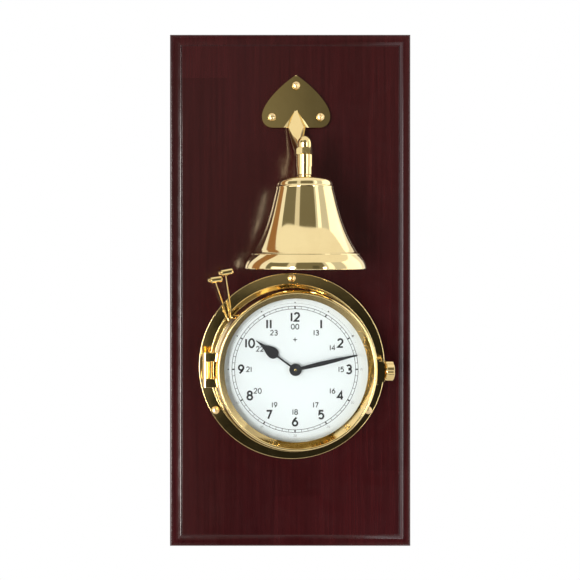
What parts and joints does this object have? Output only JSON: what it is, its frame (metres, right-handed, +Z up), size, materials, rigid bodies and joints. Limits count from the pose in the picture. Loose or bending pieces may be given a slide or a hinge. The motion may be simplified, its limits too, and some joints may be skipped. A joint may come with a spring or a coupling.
{
  "type": "ship's deck clock",
  "caption": "Brass porthole quartz clock with a hinged glazed bezel and two striking hammers under a hanging brass bell, on a moulded mahogany wall board.",
  "frame": {"origin": "centre of the board's back face, where it meets the wall", "axes": "+X to the right of someone facing the clock, +Y into the wall, +Z up"},
  "size_m": [0.237, 0.1368, 0.504],
  "materials": {
    "mahogany": "dark red mahogany under gloss lacquer",
    "polished_brass": "mirror-polished lacquered brass",
    "plain_brass": "machined brass, unpolished",
    "steel": "plain bright steel",
    "white_enamel": "white painted dial, satin",
    "black_enamel": "black lacquered hands",
    "glass": "clear flat glass",
    "black_plastic": "moulded black plastic",
    "white_plastic": "moulded white acetal",
    "copper": "enamelled copper winding",
    "circuit_green": "green solder mask on fibreglass",
    "cell_wrap": "plain printed sleeve on a dry cell"
  },
  "bodies": {
    "plaque": {"backboard": "mahogany", "bell_bracket": "polished_brass", "bracket_screw_top": "polished_brass", "bracket_screw_left": "polished_brass", "bracket_screw_right": "polished_brass", "bell": "polished_brass", "bell_bolt": "polished_brass", "bell_collar": "polished_brass", "dome_nut": "polished_brass", "clock_case": "polished_brass", "flange_screw_top": "polished_brass", "flange_screw_left": "polished_brass", "flange_screw_right": "polished_brass", "hinge_block": "polished_brass", "hinge_pin": "polished_brass", "dial_screw_top": "plain_brass", "dial_screw_left": "plain_brass", "dial_screw_right": "plain_brass", "movement_nut": "plain_brass", "hammer_bridge": "plain_brass", "hanger_plate": "steel", "hanger_screw_upper": "steel", "hanger_screw_lower": "steel", "strike_plate": "steel", "strike_plate_screw_lower": "steel", "strike_plate_screw_upper": "steel", "hammer_arbor": "steel", "solenoid_frame": "steel", "return_spring_left": "steel", "return_spring_right": "steel", "dial": "white_enamel", "movement_housing": "black_plastic", "movement_cover": "black_plastic", "strike_cell_holder": "black_plastic", "movement_coil": "copper", "solenoid_coil_left": "copper", "solenoid_coil_right": "copper", "strike_circuit_board": "circuit_green", "movement_cell": "cell_wrap", "strike_cell": "cell_wrap"},
    "door": {"bezel_door": "polished_brass", "door_glass": "glass", "glass_retainer": "polished_brass"},
    "latch_washer": {"thumbscrew_washer": "polished_brass"},
    "latch_screw": {"thumbscrew": "polished_brass"},
    "minute_train": {"minute_arbor": "plain_brass", "minute_hand": "black_enamel", "hand_cap": "polished_brass"},
    "motion_train": {"motion_wheel": "white_plastic"},
    "hour_train": {"hour_wheel": "white_plastic", "hour_hand": "black_enamel"},
    "setting_train": {"setting_knob": "black_plastic"},
    "hammer_left": {"hammer_hub_left": "plain_brass", "hammer_rod_left": "polished_brass", "hammer_head_left": "polished_brass"},
    "hammer_right": {"hammer_hub_right": "plain_brass", "hammer_rod_right": "polished_brass", "hammer_head_right": "polished_brass"},
    "plunger_left": {"solenoid_plunger_left": "steel"},
    "plunger_right": {"solenoid_plunger_right": "steel"}
  },
  "joints": [
    {"name": "door_hinge", "type": "hinge", "parent": "plaque", "child": "door", "pos_m": [-0.0841, -0.052, -0.0737], "axis": [0, 0, -1], "range_deg": [0, 105]},
    {"name": "thumbscrew_travel", "type": "slide", "parent": "door", "child": "latch_washer", "axis": [1, 0, 0], "range_m": [0, 0.002]},
    {"name": "thumbscrew_turn", "type": "hinge", "parent": "latch_washer", "child": "latch_screw", "pos_m": [0.0906, -0.0495, -0.0748], "axis": [1, 0, 0], "range_deg": [0, 720]},
    {"name": "minute_hand_turn", "type": "hinge", "parent": "plaque", "child": "minute_train", "pos_m": [0.0006, -0.05, -0.0737], "axis": [0, 1, 0], "continuous": true},
    {"name": "motion_wheel_turn", "type": "hinge", "parent": "plaque", "child": "motion_train", "pos_m": [0.0006, -0.042, -0.0653], "axis": [0, 1, 0], "continuous": true},
    {"name": "hour_hand_turn", "type": "hinge", "parent": "plaque", "child": "hour_train", "pos_m": [0.0006, -0.05, -0.0737], "axis": [0, 1, 0], "continuous": true},
    {"name": "setting_knob_turn", "type": "hinge", "parent": "plaque", "child": "setting_train", "pos_m": [0.0006, -0.042, -0.0569], "axis": [0, 1, 0], "continuous": true},
    {"name": "hammer_left_swing", "type": "hinge", "parent": "plaque", "child": "hammer_left", "pos_m": [-0.0539, -0.036, -0.0497], "axis": [0, 1, 0], "range_deg": [0, 16.5], "stiffness_Nm_per_rad": 0.12},
    {"name": "hammer_right_swing", "type": "hinge", "parent": "plaque", "child": "hammer_right", "pos_m": [-0.0539, -0.0415, -0.0497], "axis": [0, 1, 0], "range_deg": [0, 7.2], "stiffness_Nm_per_rad": 0.12},
    {"name": "plunger_left_pull", "type": "slide", "parent": "plaque", "child": "plunger_left", "axis": [0, 0, -1], "range_m": [0, 0.003], "deforming": ["return_spring_left"]},
    {"name": "plunger_right_pull", "type": "slide", "parent": "plaque", "child": "plunger_right", "axis": [0, 0, -1], "range_m": [0, 0.003], "deforming": ["return_spring_right"]}
  ],
  "couplings": [
    {"joint": "thumbscrew_travel", "follows": "thumbscrew_turn", "m_per_rad": 0.00015915},
    {"joint": "motion_wheel_turn", "follows": "minute_hand_turn", "ratio": -0.33333},
    {"joint": "hour_hand_turn", "follows": "minute_hand_turn", "ratio": 0.083333},
    {"joint": "setting_knob_turn", "follows": "minute_hand_turn", "ratio": 1},
    {"joint": "plunger_left_pull", "follows": "hammer_left_swing", "m_per_rad": 0.009},
    {"joint": "plunger_right_pull", "follows": "hammer_right_swing", "m_per_rad": 0.02}
  ]
}
